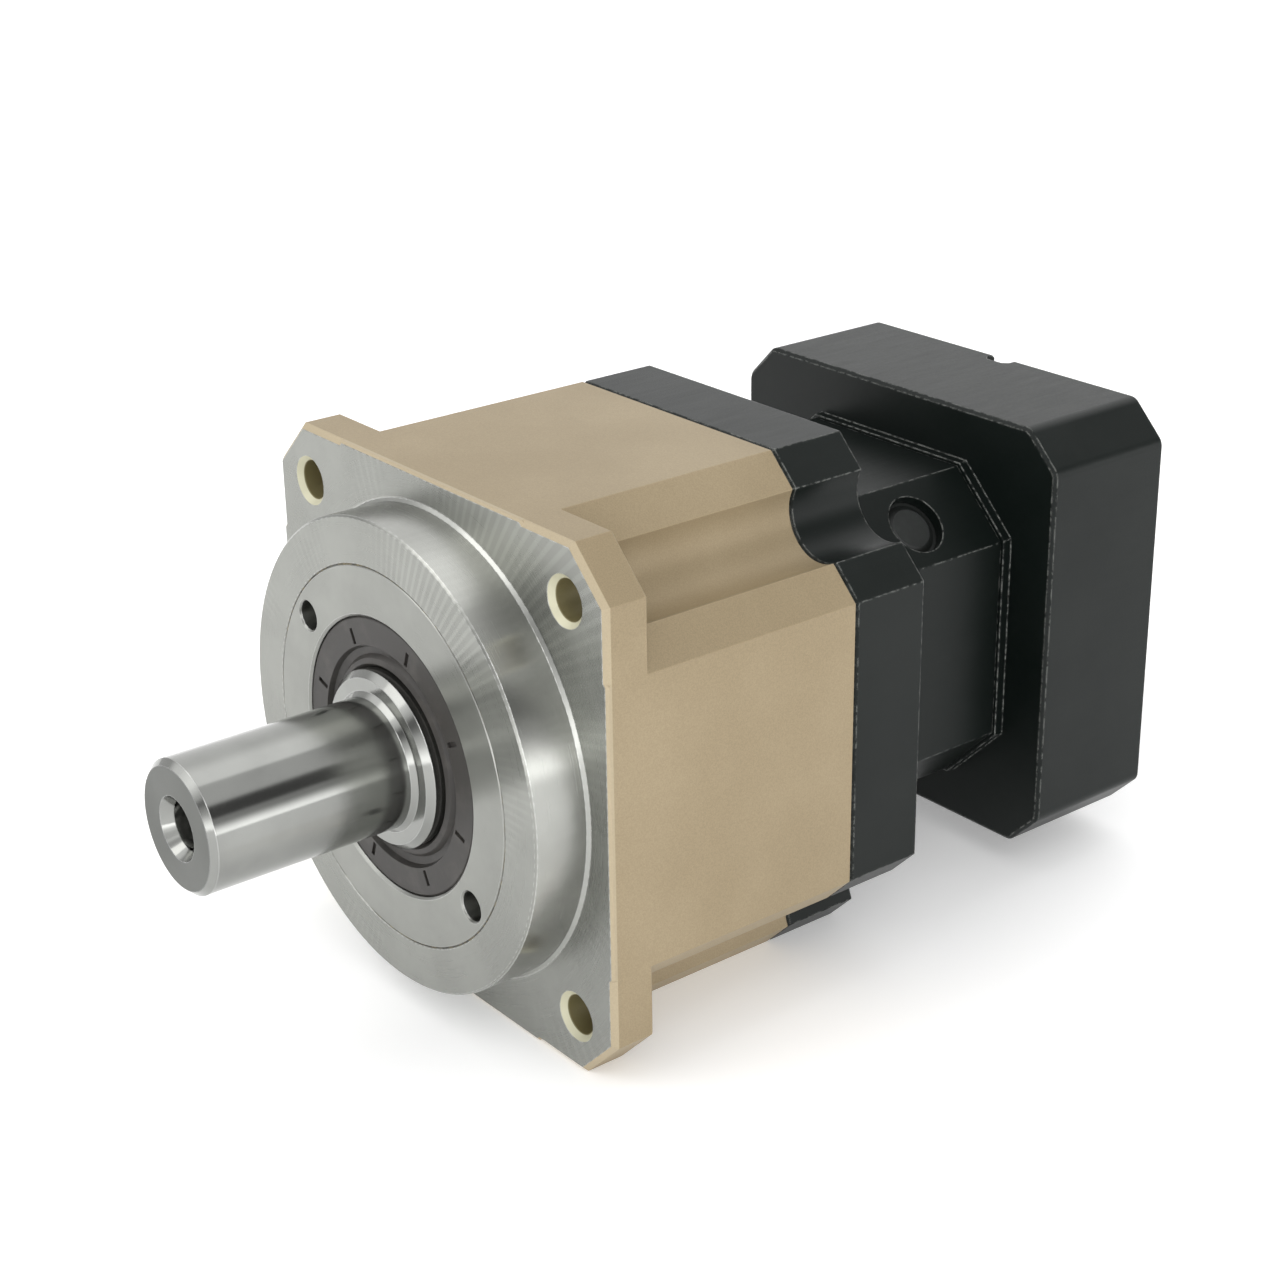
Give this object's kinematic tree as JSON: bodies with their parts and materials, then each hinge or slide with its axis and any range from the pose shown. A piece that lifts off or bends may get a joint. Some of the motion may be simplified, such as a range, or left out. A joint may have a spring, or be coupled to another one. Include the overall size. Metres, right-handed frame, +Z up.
{
  "type": "planetary gear reducer",
  "caption": "Inline planetary gear reducer with a square front flange, round pilot, plain output shaft and a square motor adapter on a narrow neck.",
  "frame": {"origin": "centre of the front mounting face of the flange, on the gearbox axis", "axes": "+Z up; gearbox axis along Y, output shaft towards -Y, motor towards +Y; +X to the right seen from the output side"},
  "size_m": [0.09, 0.177, 0.09],
  "materials": {
    "anodised_housing": "champagne anodised over fine blasting, machined faces left bare",
    "black_housing": "black anodised over fine blasting",
    "turned_steel": "fine turned",
    "ground_steel": "ground",
    "gear_steel": "hobbed and honed",
    "carrier_steel": "turned",
    "bearing_steel": "polished",
    "cage_plastic": "glass-filled nylon",
    "seal_rubber": "moulded",
    "spring_steel": "phosphated",
    "black_screw": "black oxide"
  },
  "bodies": {
    "casing": {"output_housing": "anodised_housing", "ring_gear": "gear_steel", "rear_housing": "black_housing", "motor_adapter": "black_housing", "retaining_ring": "turned_steel", "output_seal": "seal_rubber", "output_seal_spring": "spring_steel", "input_seal": "seal_rubber", "input_seal_spring": "spring_steel", "housing_o_ring": "seal_rubber", "bearing_circlip": "spring_steel", "access_plug": "seal_rubber", "housing_screws": "black_screw", "adapter_screws": "black_screw", "front_bearing_outer_ring": "bearing_steel", "rear_bearing_outer_ring": "bearing_steel", "input_bearing_outer_ring": "bearing_steel"},
    "output_carrier": {"output_shaft": "ground_steel", "carrier_plate": "carrier_steel", "carrier_screws": "black_screw", "planet_pins": "bearing_steel", "planet_washers": "carrier_steel", "output_circlip": "spring_steel", "bearing_spacer": "carrier_steel", "front_bearing_inner_ring": "bearing_steel", "rear_bearing_inner_ring": "bearing_steel"},
    "input_sun": {"input_shaft": "ground_steel", "clamp_collar": "carrier_steel", "clamp_screw": "black_screw", "input_circlip": "spring_steel", "input_bearing_inner_ring": "bearing_steel"},
    "planet_1": {"planet_gear_1": "gear_steel"},
    "needle_set_1": {"planet_needles_1": "bearing_steel"},
    "planet_2": {"planet_gear_2": "gear_steel"},
    "needle_set_2": {"planet_needles_2": "bearing_steel"},
    "planet_3": {"planet_gear_3": "gear_steel"},
    "needle_set_3": {"planet_needles_3": "bearing_steel"},
    "front_ball_set": {"front_bearing_balls": "bearing_steel", "front_bearing_cage": "cage_plastic"},
    "rear_ball_set": {"rear_bearing_balls": "bearing_steel", "rear_bearing_cage": "cage_plastic"},
    "input_ball_set": {"input_bearing_balls": "bearing_steel", "input_bearing_cage": "cage_plastic"}
  },
  "joints": [
    {"name": "output_spin", "type": "hinge", "parent": "casing", "child": "output_carrier", "pos_m": [0, 0, 0], "axis": [0, -1, 0], "continuous": true},
    {"name": "input_spin", "type": "hinge", "parent": "casing", "child": "input_sun", "pos_m": [0, 0, 0], "axis": [0, -1, 0], "continuous": true},
    {"name": "planet_1_spin", "type": "hinge", "parent": "output_carrier", "child": "planet_1", "pos_m": [0, 0, 0.021], "axis": [0, -1, 0], "continuous": true},
    {"name": "needle_set_1_spin", "type": "hinge", "parent": "output_carrier", "child": "needle_set_1", "pos_m": [0, 0, 0.021], "axis": [0, -1, 0], "continuous": true},
    {"name": "planet_2_spin", "type": "hinge", "parent": "output_carrier", "child": "planet_2", "pos_m": [-0.01819, 0, -0.0105], "axis": [0, -1, 0], "continuous": true},
    {"name": "needle_set_2_spin", "type": "hinge", "parent": "output_carrier", "child": "needle_set_2", "pos_m": [-0.01819, 0, -0.0105], "axis": [0, -1, 0], "continuous": true},
    {"name": "planet_3_spin", "type": "hinge", "parent": "output_carrier", "child": "planet_3", "pos_m": [0.01819, 0, -0.0105], "axis": [0, -1, 0], "continuous": true},
    {"name": "needle_set_3_spin", "type": "hinge", "parent": "output_carrier", "child": "needle_set_3", "pos_m": [0.01819, 0, -0.0105], "axis": [0, -1, 0], "continuous": true},
    {"name": "front_ball_set_spin", "type": "hinge", "parent": "casing", "child": "front_ball_set", "pos_m": [0, 0, 0], "axis": [0, -1, 0], "continuous": true},
    {"name": "rear_ball_set_spin", "type": "hinge", "parent": "casing", "child": "rear_ball_set", "pos_m": [0, 0, 0], "axis": [0, -1, 0], "continuous": true},
    {"name": "input_ball_set_spin", "type": "hinge", "parent": "casing", "child": "input_ball_set", "pos_m": [0, 0, 0], "axis": [0, -1, 0], "continuous": true}
  ],
  "couplings": [
    {"joint": "input_spin", "follows": "output_spin", "ratio": 4},
    {"joint": "planet_1_spin", "follows": "output_spin", "ratio": -3},
    {"joint": "needle_set_1_spin", "follows": "output_spin", "ratio": -1.8},
    {"joint": "planet_2_spin", "follows": "output_spin", "ratio": -3},
    {"joint": "needle_set_2_spin", "follows": "output_spin", "ratio": -1.8},
    {"joint": "planet_3_spin", "follows": "output_spin", "ratio": -3},
    {"joint": "needle_set_3_spin", "follows": "output_spin", "ratio": -1.8},
    {"joint": "front_ball_set_spin", "follows": "output_spin", "ratio": 0.3965},
    {"joint": "rear_ball_set_spin", "follows": "output_spin", "ratio": 0.4413},
    {"joint": "input_ball_set_spin", "follows": "output_spin", "ratio": 1.7112}
  ]
}
